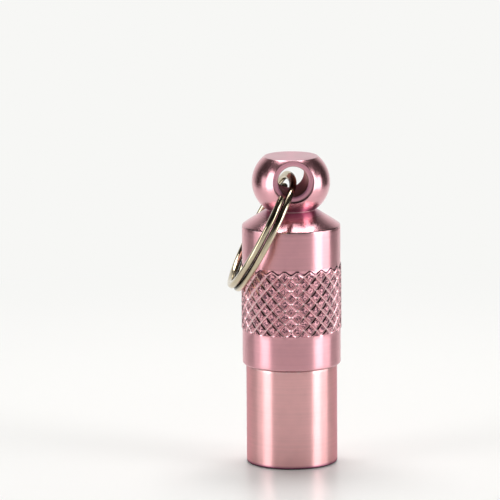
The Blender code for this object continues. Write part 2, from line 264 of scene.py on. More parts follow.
def dress(material, node, tint, layers, rough, relief, depth, sockets):
    """Lays colours over the tint, each by its share, and makes a surface of them with a relief."""
    for share, layer in layers:
        tint = node(MIX, {0: share, 6: tint, 7: layer}, 2, data_type="RGBA")
    normal = node("ShaderNodeBump", {"Height": relief, "Distance": depth, "Strength": 1})
    if "Coat Weight" in sockets:
        sockets["Coat Normal"] = normal
    surface = {"Base Color": tint, "Roughness": rough, "Normal": normal, **sockets}
    surface = node("ShaderNodeBsdfPrincipled", surface)
    node("ShaderNodeOutputMaterial", {"Surface": surface}, None)
    return material


def anodised_aluminium(
    name, dye, roughness, drawn_out, spacing, height, grain_share=0.1, skin=0.6, edge=EDGE_TINT, painted_edge_lines=()
):
    """Aluminium turned on a lathe, then anodised and dyed pink.

    The dyed oxide keeps the metal's own mirror and tints it, and its clear skin adds a whiter shine. The
    tool leaves fine circles round the axis, which draw the lamps out into long upright streaks, nearly
    white, and show as faint lines with a spacing and a height. The etched oxide gives it a faint grain, as
    high as a share of the lines. Edges are rubbed pale, and a pale line under the ball is a painted
    highlight. Painted shade darkens it where the mesh marks it. At a glancing angle light runs a longer way
    through the dye, so the edges of the shape are deeper pink, by the tint edge. Each painted edge line is a
    thin dark line of painted reflection along a sharp edge round the eyelet, given as the radius of its
    circle.
    """
    material, node, place = new_material(name)
    level = node("ShaderNodeSeparateXYZ", {"Vector": place}, "Z")
    flat = node(VECTOR_MATH, {0: place, 1: (1, 1, 0)}, operation="MULTIPLY")
    radius = node(VECTOR_MATH, {0: flat}, "Value", operation="LENGTH")

    # The lathe's circles run with the height and the radius together, which never stand still on this shape
    run = node(MATH, {0: radius, 1: 0.37, 2: level}, operation="MULTIPLY_ADD")
    circles = {"W": run, "Scale": 1 / spacing, "Detail": 2, "Roughness": 0.6}
    lines = node(NOISE, circles, noise_dimensions="1D")
    # Where the tool rubbed more and less, in patches of 1 to 2 mm
    patches = node(NOISE, {"Vector": place, "Scale": 1 / 0.0016, "Detail": 2})
    # The grain of the etched oxide, really about 0.02 mm and drawn at 0.2 mm so that it shows
    grain = node(NOISE, {"Vector": place, "Scale": 1 / 0.0002, "Detail": 1})

    tint = node(MIX, {0: patches, 6: shade(dye, 0.9), 7: shade(dye, 1.08)}, 2, data_type="RGBA")
    line_shade = node(MAP_RANGE, {"Value": lines, **NOISE_SPAN, "To Min": 0.975, "To Max": 1.025})
    tint = node(VECTOR_MATH, {0: tint, "Scale": line_shade}, operation="SCALE")

    # Painted shade darkens the dye where the mesh marks it, and nearly to black where the mark is over 1
    painted_light_and_grooves = node(ATTRIBUTE, out="Fac", attribute_name="painted_light_and_grooves")
    deep_painted_shade = node(MATH, {0: painted_light_and_grooves, 1: 1}, operation="SUBTRACT", use_clamp=True)
    # Pale edges: the wear that the mesh gives, with a painted highlight under the ball, broken up by the
    # grain
    wear_and_painted_light = node(ATTRIBUTE, out="Fac", attribute_name="wear_and_painted_light")
    broken = node(MATH, {0: wear_and_painted_light, 1: grain}, operation="MULTIPLY")
    pale_edges = node(MAP_RANGE, {"Value": broken, "From Min": 0.25, "From Max": 0.75, "To Max": 0.7})
    layers = [(painted_light_and_grooves, shade(dye, 0.62, 0.42, 0.62)), (deep_painted_shade, shade(dye, 0.08, 0.06, 0.1))]
    layers.append((pale_edges, shade(bpy.context.scene.capsule_colours.bare_metal_and_highlight)))

    # Painted reflection: a thin dark line is painted along each sharp edge, which would mirror nothing
    # bright
    eyelet = (0, 0, bpy.context.scene.cap_sizes.eyelet_height)
    for edge_line_radius in painted_edge_lines:
        around = node(VECTOR_MATH, {0: place, 1: eyelet}, operation="SUBTRACT")
        across = node(VECTOR_MATH, {0: around, 1: (1, 0, 1)}, operation="MULTIPLY")
        reach = node(VECTOR_MATH, {0: across}, "Value", operation="LENGTH")
        away = node(MATH, {0: reach, 1: edge_line_radius}, operation="SUBTRACT")
        away = node(MATH, {0: away}, operation="ABSOLUTE")
        fade = {"Value": away, "From Min": 0.00003, "From Max": 0.00009, "To Min": 0.85, "To Max": 0}
        line = node(MAP_RANGE, fade, interpolation_type="SMOOTHSTEP")
        layers.append((line, shade(dye, 0.25)))

    rough = {"Value": patches, **NOISE_SPAN, "To Min": roughness * 0.94, "To Max": roughness * 1.1}
    rough = node(MATH, {0: painted_light_and_grooves, 1: 0.12, 2: node(MAP_RANGE, rough)}, operation="MULTIPLY_ADD")
    relief = node(MATH, {0: grain, 1: grain_share, 2: lines}, operation="MULTIPLY_ADD")
    lathe = node("ShaderNodeTangent", direction_type="RADIAL", axis="Z")
    metal = {"Metallic": 1, "Specular Tint": (*edge, 1)}
    streaks = {"Anisotropic": drawn_out, "Anisotropic Rotation": 0.25, "Tangent": lathe}
    coat = {"Coat Weight": skin, "Coat Roughness": roughness * 0.8, "Coat IOR": OXIDE_IOR}
    return dress(material, node, tint, layers, rough, relief, height, {**metal, **streaks, **coat})


def knurled_aluminium(name, dye):
    """Anodised aluminium whose diamonds were pressed up between the wheels of a knurling tool.

    The wheels squeeze the metal up beside each groove and don't fill the middles, so a diamond has a
    smooth, bright rim and a dull, pitted middle. The grooves are smooth and painted pale, a painted
    highlight, and a painted shadow line runs along the upper end.
    """
    sizes = bpy.context.scene.cap_sizes
    bare = bpy.context.scene.capsule_colours.bare_metal_and_highlight
    material, node, place = new_material(name)
    parts = node("ShaderNodeSeparateXYZ", {"Vector": place}, None)
    painted_light_and_grooves, torn, wear_and_painted_light = (node(ATTRIBUTE, out="Fac", attribute_name=mark_name) for mark_name in MARKS)

    # Torn spots of 0.17 mm, about as large as the real ones, each with a level of its own, and finer pits
    # between them
    cells = node("ShaderNodeTexVoronoi", {"Vector": place, "Scale": 1 / 0.00017}, "Color")
    spots = node("ShaderNodeSeparateXYZ", {"Vector": cells}, "X")
    fine = node(NOISE, {"Vector": place, "Scale": 1 / 0.00025, "Detail": 3, "Roughness": 0.8})
    pits = node(MIX, {0: 0.5, 2: spots, 3: fine})
    # Scratches that the wheels drag sideways, 0.1 mm apart and long round the axis
    drag = {"W": parts["Z"], "Scale": 1 / 0.00011, "Detail": 3}
    scratches = node(NOISE, drag, noise_dimensions="1D")
    mixed = node(MATH, {0: scratches, 1: 0.35, 2: pits}, operation="MULTIPLY_ADD")
    height = node(MATH, {0: mixed, 1: torn}, operation="MULTIPLY")
    pitted = {"Value": pits, "From Min": 0.6, "From Max": 0.42, "To Max": 0.96}
    pitted = node(MAP_RANGE, pitted, interpolation_type="SMOOTHSTEP")
    pitted = node(MATH, {0: pitted, 1: torn}, operation="MULTIPLY")
    pale_edges = node(MAP_RANGE, {"Value": wear_and_painted_light, "From Min": 0.2, "From Max": 1, "To Max": 0.35})

    # The upper end is a step that the wheels' rims left, in an arch over each diamond, with a painted shadow
    # line along it
    angle = node(MATH, {0: parts["Y"], 1: parts["X"]}, operation="ARCTAN2")
    turned = node(MATH, {0: angle, 1: KNURL_TURN}, operation="SUBTRACT")
    phase = node(MATH, {0: turned, 1: sizes.knurl_count}, operation="MULTIPLY")
    wave = node(MATH, {0: phase}, operation="COSINE")
    middle = sizes.knurl_top - KNURL_SCALLOP - KNURL_LIP / 2
    arches = node(MATH, {0: wave, 1: KNURL_SCALLOP, 2: middle}, operation="MULTIPLY_ADD")
    away = node(MATH, {0: parts["Z"], 1: arches}, operation="SUBTRACT")
    away = node(MATH, {0: away}, operation="ABSOLUTE")
    step = {"Value": away, "From Min": 0.00006, "From Max": 0.00013, "To Min": 0.85, "To Max": 0}
    step = node(MAP_RANGE, step, interpolation_type="SMOOTHSTEP")

    # Painted highlight: the grooves are painted pale, mostly in the colour of bare metal
    groove = (*(0.25 * dyed + 0.75 * bare_channel for dyed, bare_channel in zip(dye, bare)), 1)
    layers = [(pits, shade(dye, 1.2)), (pitted, shade(dye, 0.13, 0.1, 0.14)), (painted_light_and_grooves, groove)]
    layers += [(pale_edges, shade(bare)), (step, shade(dye, 0.16, 0.12, 0.18))]
    rough = node(MATH, {0: torn, 1: 0.18, 2: 0.24}, operation="MULTIPLY_ADD")
    # The bottoms of the grooves are dulled by dirt, and their flanks aren't
    bottom = node(MATH, {0: painted_light_and_grooves, 1: 4}, operation="POWER", use_clamp=True)
    rough = node(MATH, {0: bottom, 1: 0.28, 2: rough}, operation="MULTIPLY_ADD")
    metal = {"Metallic": 1, "Coat Weight": 0.3, "Coat Roughness": 0.3, "Coat IOR": OXIDE_IOR}
    return dress(material, node, shade(dye), layers, rough, height, 0.00013, metal)


def nickel_plated_steel(name, nickel):
    """Hard drawn steel wire with bright nickel plate.

    The plate is nearly a mirror with a warm grey tint. The die leaves fine lines along the wire. Painted
    shade darkens the wire where the coils face each other and round its cut ends, so the slot there looks
    black.
    """
    material, node, place = new_material(name)
    # The mesh keeps its place across the wire, and its length along the wire divided by 40, so this pattern
    # is drawn out into lines. They are really about 0.01 mm apart and are drawn at 0.1 mm so that they show
    across = node(ATTRIBUTE, out="Vector", attribute_name="across_wire")
    lines = node(NOISE, {"Vector": across, "Scale": 1 / 0.0001, "Detail": 2})
    patches = node(NOISE, {"Vector": place, "Scale": 1 / 0.0009, "Detail": 3})
    wear_and_painted_light = node(ATTRIBUTE, out="Fac", attribute_name="wear_and_painted_light")
    # Painted shade: near black where the coils face each other and round the cut ends
    layers = ((patches, shade(nickel, 0.95, 0.88, 0.76)), (wear_and_painted_light, shade(nickel, 0.12, 0.1, 0.08)))
    rough = node(MAP_RANGE, {"Value": patches, **NOISE_SPAN, "To Min": 0.07, "To Max": 0.13})
    rough = node(MATH, {0: wear_and_painted_light, 1: 0.15, 2: rough}, operation="MULTIPLY_ADD")
    return dress(material, node, shade(nickel), layers, rough, lines, 0.000002, {"Metallic": 1})


def moulded_rubber(name, rubber):
    """Black nitrile rubber, moulded. It is dull with a soft shine, and fine talc greys it in patches."""
    material, node, place = new_material(name)
    talc = node(NOISE, {"Vector": place, "Scale": 1 / 0.0008, "Detail": 4})
    # Mould texture of about 0.05 mm
    skin = node(NOISE, {"Vector": place, "Scale": 1 / 0.00005})
    dusted = node(MAP_RANGE, {"Value": talc, "From Min": 0.5, "From Max": 0.75, "To Max": 0.12})
    layers = ((dusted, (0.5, 0.5, 0.48, 1)),)
    rough = node(MAP_RANGE, {"Value": talc, **NOISE_SPAN, "To Min": 0.42, "To Max": 0.65})
    return dress(material, node, shade(rubber), layers, rough, skin, 0.000003, {"IOR": 1.52})


def ruled_paper(name, paper, ruling, low, height):
    """Tear-proof white paper with plain lines to write on. It is matt, with a faint cloudy fibre."""
    material, node, place = new_material(name)
    # Fibres of about 0.15 mm
    fibre = node(NOISE, {"Vector": place, "Scale": 1 / 0.00015, "Detail": 4, "Distortion": 0.6})
    # Four lines 0.15 mm wide, which part the strip's width in five
    level = node("ShaderNodeSeparateXYZ", {"Vector": place}, "Z")
    share = node(MAP_RANGE, {"Value": level, "From Min": low, "From Max": low + height, "To Max": 5})
    cell = node(MATH, {0: share, 1: 0.5}, operation="ADD")
    nearest = node(MATH, {0: cell}, operation="FRACT")
    away = node(MATH, {0: nearest, 1: 0.5}, operation="SUBTRACT")
    away = node(MATH, {0: away}, operation="ABSOLUTE")
    fade = {"Value": away, "From Min": 0.014, "From Max": 0.026, "To Min": 0.8, "To Max": 0}
    layers = ((fibre, shade(paper)), (node(MAP_RANGE, fade), shade(ruling)))
    rough = node(MAP_RANGE, {"Value": fibre, **NOISE_SPAN, "To Min": 0.78, "To Max": 0.9})
    return dress(material, node, shade(paper, 0.9), layers, rough, fibre, 0.000006, {"IOR": 1.5})


def arc(centre, radius, start_degrees, end_degrees, steps):
    """Points along an arc of a profile, each as its distance from the axis and its height."""
    points = []
    for step in range(steps + 1):
        angle = math.radians(start_degrees + (end_degrees - start_degrees) * step / steps)
        points.append((centre[0] + radius * math.cos(angle), centre[1] + radius * math.sin(angle)))
    return points


def divided(start, end, steps):
    """Points along a straight stretch of a profile, without its start."""
    return [
        (start[0] + (end[0] - start[0]) * step / steps, start[1] + (end[1] - start[1]) * step / steps)
        for step in range(1, steps + 1)
    ]


def smooth(share):
    """A share kept from 0 to 1, with a soft start and end."""
    share = min(1, max(0, share))
    return share * share * (3 - 2 * share)


def drill_point(radius):
    """How far a drill's pointed end reaches past its full diameter."""
    return radius / math.tan(DRILL_POINT / 2)


def turn_profile(bm, profile, angles):
    """Adds the surface that a profile makes round the Z axis. A point on the axis is one vertex."""
    rings = []
    for radius, height in profile:
        if radius < WELD:
            rings.append([bm.verts.new((0, 0, height))] * len(angles))
        else:
            places = [(radius * math.cos(angle), radius * math.sin(angle), height) for angle in angles]
            rings.append([bm.verts.new(place) for place in places])
    for upper, lower in zip(rings, rings[1:]):
        for here in range(len(angles)):
            there = (here + 1) % len(angles)
            corners = []
            for vertex in (upper[here], lower[here], lower[there], upper[there]):
                if vertex not in corners:
                    corners.append(vertex)
            bm.faces.new(corners)
    return rings


def even_angles(steps):
    """Angles all the way round in equal steps."""
    return [2 * math.pi * step / steps for step in range(steps)]


def mesh_object(name, bm):
    """Welds a bmesh, turns its faces outward and makes it an object of the scene."""
    bmesh.ops.remove_doubles(bm, verts=bm.verts, dist=WELD)
    bmesh.ops.recalc_face_normals(bm, faces=bm.faces)
    mesh = bpy.data.meshes.new(name)
    bm.to_mesh(mesh)
    bm.free()
    item = bpy.data.objects.new(name, mesh)
    bpy.context.scene.collection.objects.link(item)
    return item


def cut(item, tool, operation):
    """Joins or cuts a piece with a tool shape, applies the result and removes the tool."""
    change = item.modifiers.new("cut", "BOOLEAN")
    change.operation = operation
    change.solver = "EXACT"
    change.object = tool
    shape = bpy.data.meshes.new_from_object(item.evaluated_get(bpy.context.evaluated_depsgraph_get()))
    item.modifiers.clear()
    item.data = shape
    item.data.name = item.name
    bpy.data.objects.remove(tool)


def finish_piece(item, materials, body, node, crease_degrees=28):
    """Smooths a piece between its creases, gives it its materials and puts it in place of its solid."""
    item.data.materials.clear()
    for material in materials:
        item.data.materials.append(material)
    item.data.shade_smooth()
    item.data.set_sharp_from_angle(angle=math.radians(crease_degrees))
    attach(item, body)
    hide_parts(node)


def sweep_section(bm, section, frames):
    """Adds a solid that a flat section makes along a list of frames, closed at both ends."""
    rings = [[bm.verts.new(frame_here @ Vector((*point, 0))) for point in section] for frame_here in frames]
    sides = len(section)
    for before, after in zip(rings, rings[1:]):
        for here in range(sides):
            there = (here + 1) % sides
            bm.faces.new((before[here], before[there], after[there], after[here]))
    bm.faces.new(rings[0])
    bm.faces.new(rings[-1])
    return rings


def thread_shape(name, start, turns, growth, buried):
    """A helical ridge on the barrel's neck. Growth makes it larger, to cut the cap with.

    Its ends run out in a quarter of a turn, and its foot is buried in the neck so that the two join.
    """
    sizes = bpy.context.scene.barrel_sizes
    inner = sizes.neck / 2 - buried
    outer = sizes.neck / 2 + sizes.depth + growth
    crest = 0.00008 + growth * math.tan(math.pi / 4 + THREAD_FLANK / 2) / 2
    root = crest + (outer - inner) * math.tan(THREAD_FLANK)
    reach = outer - inner
    section = [(0, -root), (reach * 0.96, -crest * 1.25), (reach, -crest * 0.7)]
    section += [(reach, crest * 0.7), (reach * 0.96, crest * 1.25), (0, root)]
    steps = round(turns * THREAD_STEPS)
    run_out = THREAD_STEPS / 4
    first = sizes.shoulder + THREAD_RISE
    frames = []
    for step in range(steps + 1):
        turn = (start - first) / sizes.pitch + step / THREAD_STEPS
        depth = 0.15 + 0.85 * min(1, step / run_out, (steps - step) / run_out)
        place = Matrix.Rotation(2 * math.pi * turn, 4, "Z")
        place = place @ Matrix.Translation((inner, 0, first + sizes.pitch * turn))
        frames.append(place @ Matrix.Rotation(math.pi / 2, 4, "X") @ Matrix.Scale(depth, 4))
    bm = bmesh.new()
    sweep_section(bm, section, frames)
    return mesh_object(name, bm)


def mark(bm, name, values):
    """Stores a value from 0 to 1 on each vertex, for a material to read."""
    layer = bm.verts.layers.float.get(name) or bm.verts.layers.float.new(name)
    for vertex in bm.verts:
        vertex[layer] = values(vertex.co)


def edge_falloff(edges, width):
    """A falloff from the circles where edges lie, as radius and height, for wear and for painted shade at
    the base.
    """

    def wear_and_painted_light(place):
        radius = math.hypot(place.x, place.y)
        nearest = min(math.hypot(radius - edge[0], place.z - edge[1]) for edge in edges)
        return smooth(1 - nearest / width)

    return wear_and_painted_light


def barrel_profile(sizes):
    """The barrel's profile, from the floor of its bore over the neck and down the outside to the base."""
    bore, neck, side = sizes.bore / 2, sizes.neck / 2, sizes.diameter / 2
    floor_edge = sizes.floor + drill_point(bore)
    base, top = sizes.base_edge, sizes.top_edge
    bevel, chamfer, root = 0.0003, 0.00012, 0.00005
    profile = [(0, sizes.floor)]
    profile += divided(profile[-1], (bore, floor_edge), 5)
    profile += divided(profile[-1], (bore, sizes.neck_top - chamfer), 10)
    profile += [(bore + chamfer, sizes.neck_top), (neck - bevel, sizes.neck_top)]
    profile += [(neck, sizes.neck_top - bevel)]
    profile += divided(profile[-1], (neck, sizes.shoulder + root), 16)
    profile += [(neck + root, sizes.shoulder)]
    profile += arc((side - top, sizes.shoulder - top), top, 90, 0, 5)
    profile += divided(profile[-1], (side, base + 0.0003), 24)
    profile += [(side, base + 0.00012)] + arc((side - base, base), base, 0, -90, 10)
    # The base: a faced disc with a shallow ring where the bar was parted off
    profile += divided(profile[-1], (side * 0.45, 0), 3)
    profile += [(side * 0.43, 0.00004), (side * 0.08, 0.00004), (side * 0.06, 0.00002), (0, 0.00002)]
    return profile


def capsule_barrel():
    """The lower half: its turned body, joined with the thread on its neck."""
    sizes = bpy.context.scene.barrel_sizes
    bm = bmesh.new()
    turn_profile(bm, barrel_profile(sizes), even_angles(TURNED_STEPS))
    side = sizes.diameter / 2
    edges = [(side - 0.00004, sizes.shoulder - 0.00004)]
    edges += [(sizes.neck / 2 - 0.00015, sizes.neck_top - 0.00015)]
    mark(bm, "wear_and_painted_light", edge_falloff(edges, 0.0003))
    # The turned edge that it stands on is dull, and painted shade darkens it nearly to black where it meets
    # the table
    sunk = edge_falloff([(side - 0.0001, 0)], 0.00055)
    mark(bm, "painted_light_and_grooves", lambda place: 2.4 * sunk(place))
    barrel = mesh_object("capsule_barrel", bm)
    ridge = thread_shape("thread_ridge", sizes.shoulder + THREAD_RISE, THREAD_TURNS, 0, 0.00015)
    cut(barrel, ridge, "UNION")

    dye = bpy.context.scene.capsule_colours.barrel_dye
    deep_pink = (0.65, 0.36, 0.42)
    satin = anodised_aluminium(
        "satin_turned_anodised_barrel", dye, 0.3, 0.85, 0.00034, 0.0000008, skin=0.35, edge=deep_pink
    )
    bored = anodised_aluminium("bored_anodised_aluminium", dye, 0.36, 0.5, 0.0003, 0.000008)
    finish_piece(barrel, [satin, bored], "barrel", "barrel")
    for face in barrel.data.polygons:
        centre = face.center
        inside = math.hypot(centre.x, centre.y) < sizes.neck / 2 + 0.0006 and centre.z > 0.0005
        face.material_index = 1 if inside else 0
    return barrel


def knurl_angles(sizes):
    """The angles of the vertices along the knurl's ends, where its outermost diamonds are cut in half."""
    half = math.pi / sizes.knurl_count
    angles = []
    for diamond in range(sizes.knurl_count):
        left = KNURL_TURN + 2 * half * diamond
        angles += [left + 2 * half * share for share in KNURL_SAMPLES[:-1]]
    return angles


def knurl_radius(sizes, angle, height, groove):
    """(radius, recess, torn) of the knurl at a place that is a distance from the nearest groove."""
    band = sizes.diameter / 2
    full = sizes.knurl / 2
    lower_lip, run_out, rim = 0.00018, 0.0004, 0.00016
    sunk, pitted, coarse, fine = 0.000014, 0.00004, 5200, 11000
    share = min(1, groove / sizes.knurl_flank)
    flank = 0.7 * share + 0.3 * smooth(share)
    below = smooth((height - sizes.knurl_bottom) / lower_lip)
    # The upper end is scalloped: metal was pushed up in a lip round the tip of each whole diamond
    scallop = KNURL_SCALLOP * (1 - math.cos(sizes.knurl_count * (angle - KNURL_TURN)))
    inside = sizes.knurl_top - scallop - height
    above = smooth(inside / KNURL_LIP)
    fade = smooth((inside - 0.0001) / run_out)
    # A diamond's middle is sunk a little and pitted, and its rim is smoother
    middle = smooth((groove - sizes.knurl_flank) / rim)
    place = Vector((full * math.cos(angle), full * math.sin(angle), height))
    ragged = abs(noise.noise(place * coarse)) * 0.6 + abs(noise.noise(place * fine)) * 0.4
    top = full - sunk * middle - pitted * ragged * (0.25 + 0.75 * middle) * fade
    depth = sizes.knurl_depth * (1 - flank) * fade
    radius = band + (top - depth - band) * below * above
    # How deep in a groove: the material paints it pale as a painted highlight
    painted_light_and_grooves = (1 - flank) ** 1.5 * below * fade * above
    torn = smooth((groove - sizes.knurl_flank * 0.9) / 0.0001) * below * fade
    return radius, painted_light_and_grooves, torn


def add_knurl(bm, sizes, marks):
    """Adds the lattice of diamonds, each a grid of its own that follows the grooves on its four sides."""
    half = math.pi / sizes.knurl_count
    rise = (sizes.knurl_top - sizes.knurl_bottom) / sizes.knurl_rows / 2
    width = half * sizes.knurl / 2
    pitch = 2 * width * rise / math.hypot(width, rise)
    last = len(KNURL_SAMPLES) - 1
    rows = 2 * sizes.knurl_rows
    for row in range(rows + 1):
        for column in range(1 - row % 2, 2 * sizes.knurl_count, 2):
            grid = {}
            for i, along in enumerate(KNURL_SAMPLES):
                for j, up in enumerate(KNURL_SAMPLES):
                    if (row == 0 and i > j) or (row == rows and j > i):
                        continue
                    angle = KNURL_TURN + half * (column - 1 + along + up)
                    height = sizes.knurl_bottom + rise * (row + up - along)
                    groove = min(along, 1 - along, up, 1 - up) * pitch
                    radius, painted_light_and_grooves, torn = knurl_radius(sizes, angle, height, groove)
                    place = (radius * math.cos(angle), radius * math.sin(angle), height)
                    vertex = bm.verts.new(place)
                    vertex[marks["painted_light_and_grooves"]] = painted_light_and_grooves
                    vertex[marks["torn"]] = torn
                    vertex[marks["wear_and_painted_light"]] = smooth(1 - abs(groove - sizes.knurl_flank) / 0.0001) * torn
                    grid[i, j] = vertex
            for i in range(last):
                for j in range(last):
                    corners = [grid.get(key) for key in ((i, j), (i + 1, j), (i + 1, j + 1), (i, j + 1))]
                    corners = [corner for corner in corners if corner]
                    if len(corners) > 2:
                        bm.faces.new(corners)


def cap_upper_profile(sizes):
    """The cap's outside from the flat on its ball down to the upper end of the knurl."""
    radius, arc_radius = sizes.diameter / 2, sizes.ball_arc
    slope = math.tan(SHOULDER_SLOPE)
    centre = (sizes.ball / 2 - arc_radius, sizes.ball_height)
    top_angle = math.degrees(math.asin((sizes.top - 0.00005 - sizes.ball_height) / arc_radius))
    foot_angle = math.degrees(math.asin((sizes.ball_foot - sizes.ball_height) / arc_radius))
    ball = arc(centre, arc_radius, top_angle, foot_angle, 44)
    neck, edge = sizes.ball_neck / 2, 0.00008
    profile = [(0, sizes.top)]
    profile += divided(profile[-1], (ball[0][0] - 0.00012, sizes.top), 6)
    profile += [(ball[0][0] - 0.00005, sizes.top - 0.00001)]
    profile += ball
    profile += [(neck + 0.00006, sizes.ball_foot - 0.00001), (neck, sizes.ball_foot - 0.00004)]
    # The slope is straight near the ball and crowned by 0.04 mm towards its edge
    crowned, crown = 0.0051, 0.00004
    profile += [(neck + 0.00003, sizes.shoulder + (radius - neck) * slope + crown - 0.00003)]
    profile += divided(profile[-1], (crowned, sizes.shoulder + (radius - crowned) * slope + crown), 9)
    for step in range(1, 7):
        share = step / 6
        out = crowned + (radius - edge - crowned) * share
        profile.append((out, sizes.shoulder + (radius - out) * slope + crown * (1 - share**2)))
    profile += [(radius - edge * 0.35, sizes.shoulder - edge * 0.02), (radius, sizes.shoulder - edge)]
    profile += divided(profile[-1], (radius, sizes.knurl_top), 10)
    return profile


def cap_lower_profile(sizes):
    """The cap from the lower end of its knurl round the rim and up the inside to the tip of its bore."""
    barrel = bpy.context.scene.barrel_sizes
    radius, rim = sizes.diameter / 2, sizes.rim_edge
    seat = barrel.neck / 2 + barrel.seal_cord + 2 * SEAL_GAP
    seat_top = barrel.shoulder + barrel.seal_cord + 2 * SEAL_GAP
    bore = barrel.neck / 2 + THREAD_GAP
    profile = [(radius, sizes.knurl_bottom)]
    profile += divided(profile[-1], (radius, sizes.rim + rim), 9)
    profile += arc((radius - rim, sizes.rim + rim), rim, 0, -90, 7)[1:]
    profile += [(seat + 0.0001, sizes.rim), (seat, sizes.rim + 0.0001)]
    profile += divided(profile[-1], (seat, seat_top), 2)
    profile += [(bore, seat_top)]
    profile += divided(profile[-1], (bore, CAP_BORE_TOP), 12)
    return profile + divided(profile[-1], (0, CAP_BORE_TOP + drill_point(bore)), 3)


def eyelet_cutter(sizes):
    """The shape of the hole through the ball: a bore, and at each end a shallow mouth left by a cutter."""
    hole, mouth, outside = sizes.eyelet / 2, sizes.eyelet_mouth / 2, sizes.ball
    floor = EYELET_STEP - (mouth - hole) * math.tan(MOUTH_SLOPE)
    side = [(0, outside), (mouth, outside), (mouth, EYELET_STEP)]
    side += divided(side[-1], (hole + 0.00004, floor), 2)
    side += [(hole + 0.00001, floor - 0.00001), (hole, floor - 0.00005)]
    side += divided(side[-1], (hole, 0), 4)
    profile = side + [(radius, -height) for radius, height in reversed(side[:-1])]
    bm = bmesh.new()
    turn_profile(bm, profile, even_angles(112))
    tool = mesh_object("eyelet_cutter", bm)
    place = Matrix.Translation((0, 0, sizes.eyelet_height))
    tool.data.transform(place @ Matrix.Rotation(math.pi / 2, 4, "X"))
    return tool


def true_ball_normals(item, sizes):
    """Gives the ball the normals of its true shape, so that the cut edges of the eyelet leave no ripple."""
    mesh = item.data
    offset = sizes.ball / 2 - sizes.ball_arc
    normals = [Vector(corner.vector) for corner in mesh.corner_normals]
    for face in mesh.polygons:
        if not sizes.ball_foot < face.center.z < sizes.top - 0.00005:
            continue
        for corner in face.loop_indices:
            place = mesh.vertices[mesh.loops[corner].vertex_index].co
            flat = Vector((place.x, place.y, 0))
            if flat.length < WELD:
                continue
            true = place - flat.normalized() * offset - Vector((0, 0, sizes.ball_height))
            near = abs(true.length - sizes.ball_arc) < 0.00001
            if near and true.normalized().dot(face.normal) > 0.98:
                normals[corner] = true.normalized()
    mesh.normals_split_custom_set(normals)


